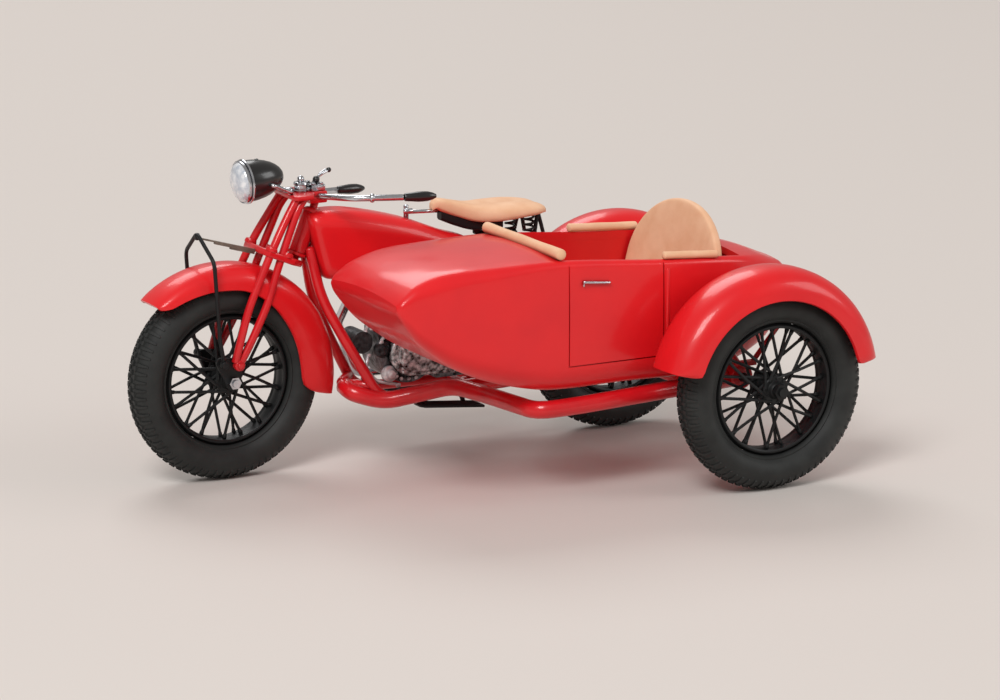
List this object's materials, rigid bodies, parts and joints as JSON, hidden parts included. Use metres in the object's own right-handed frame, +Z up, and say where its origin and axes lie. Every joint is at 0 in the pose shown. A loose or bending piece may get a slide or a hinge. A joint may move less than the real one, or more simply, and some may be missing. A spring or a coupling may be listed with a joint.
{
  "type": "scale model sidecar motorcycle",
  "caption": "Hand-built 1:43 display model of a 1920s V-twin motorcycle with a left-hand sidecar: wire wheels, leaf-spring fork, hollow cockpit; wheels roll and the fork steers.",
  "frame": {"origin": "on the ground below the middle of the whole model's box", "axes": "+X forward, +Y left towards the sidecar, +Z up"},
  "size_m": [0.0507, 0.0307, 0.0239],
  "materials": {
    "red_enamel": "thick glossy red enamel over cast white metal",
    "black_enamel": "satin black enamel",
    "chrome": "bright plated wire and castings",
    "white_metal": "silver-painted casting washed with black",
    "spring_brass": "dull bare strip",
    "lens_glass": "clear domed lens",
    "tan_enamel": "matt tan paint over castings shaped as leather upholstery",
    "rubber_tyre": "matt black rubber"
  },
  "bodies": {
    "machine": {"frame": "red_enamel", "fuel_tank": "red_enamel", "front_cylinder": "white_metal", "rear_cylinder": "white_metal", "crankcase": "white_metal", "magneto": "black_enamel", "carburettor": "white_metal", "gearbox": "white_metal", "primary_case": "white_metal", "drive_chain": "black_enamel", "exhaust": "white_metal", "footboards": "black_enamel", "saddle": "tan_enamel", "saddle_frame": "black_enamel", "rear_fender": "red_enamel", "tail_lamp": "black_enamel", "rear_axle": "white_metal", "sidecar_chassis": "red_enamel", "sidecar_axle": "white_metal", "sidecar_deck": "red_enamel", "sidecar_tail_deck": "red_enamel", "sidecar_tub": "red_enamel", "door_handle": "chrome", "door_hinge": "red_enamel", "seat_cushion": "tan_enamel", "seat_back": "tan_enamel", "scuttle_roll": "tan_enamel", "coaming_rolls": "tan_enamel", "sidecar_fender": "red_enamel", "fender_stays": "red_enamel"},
    "steering": {"fork": "red_enamel", "axle_links": "white_metal", "front_axle": "white_metal", "leaf_spring": "spring_brass", "spring_bow": "black_enamel", "front_fender": "red_enamel", "headlamp_shell": "black_enamel", "headlamp_rim": "chrome", "headlamp_lens": "lens_glass", "handlebar": "chrome", "grips": "black_enamel", "bar_clamp": "chrome", "control_knobs": "black_enamel"},
    "front_wheel": {"front_tyre": "rubber_tyre", "front_wire_wheel": "black_enamel"},
    "rear_wheel": {"rear_tyre": "rubber_tyre", "rear_wire_wheel": "black_enamel"},
    "sidecar_wheel": {"sidecar_tyre": "rubber_tyre", "sidecar_wire_wheel": "black_enamel"}
  },
  "joints": [
    {"name": "steering_head", "type": "hinge", "parent": "machine", "child": "steering", "pos_m": [0.01085, -0.00904, 0.0182], "axis": [-0.3907, 0, 0.9205], "range_deg": [-20, 20]},
    {"name": "front_wheel_spin", "type": "hinge", "parent": "steering", "child": "front_wheel", "pos_m": [0.01775, -0.00904, 0.0076], "axis": [0, 1, 0], "continuous": true},
    {"name": "rear_wheel_spin", "type": "hinge", "parent": "machine", "child": "rear_wheel", "pos_m": [-0.01545, -0.00904, 0.0076], "axis": [0, 1, 0], "continuous": true},
    {"name": "sidecar_wheel_spin", "type": "hinge", "parent": "machine", "child": "sidecar_wheel", "pos_m": [-0.01605, 0.01296, 0.0076], "axis": [0, 1, 0], "continuous": true}
  ]
}
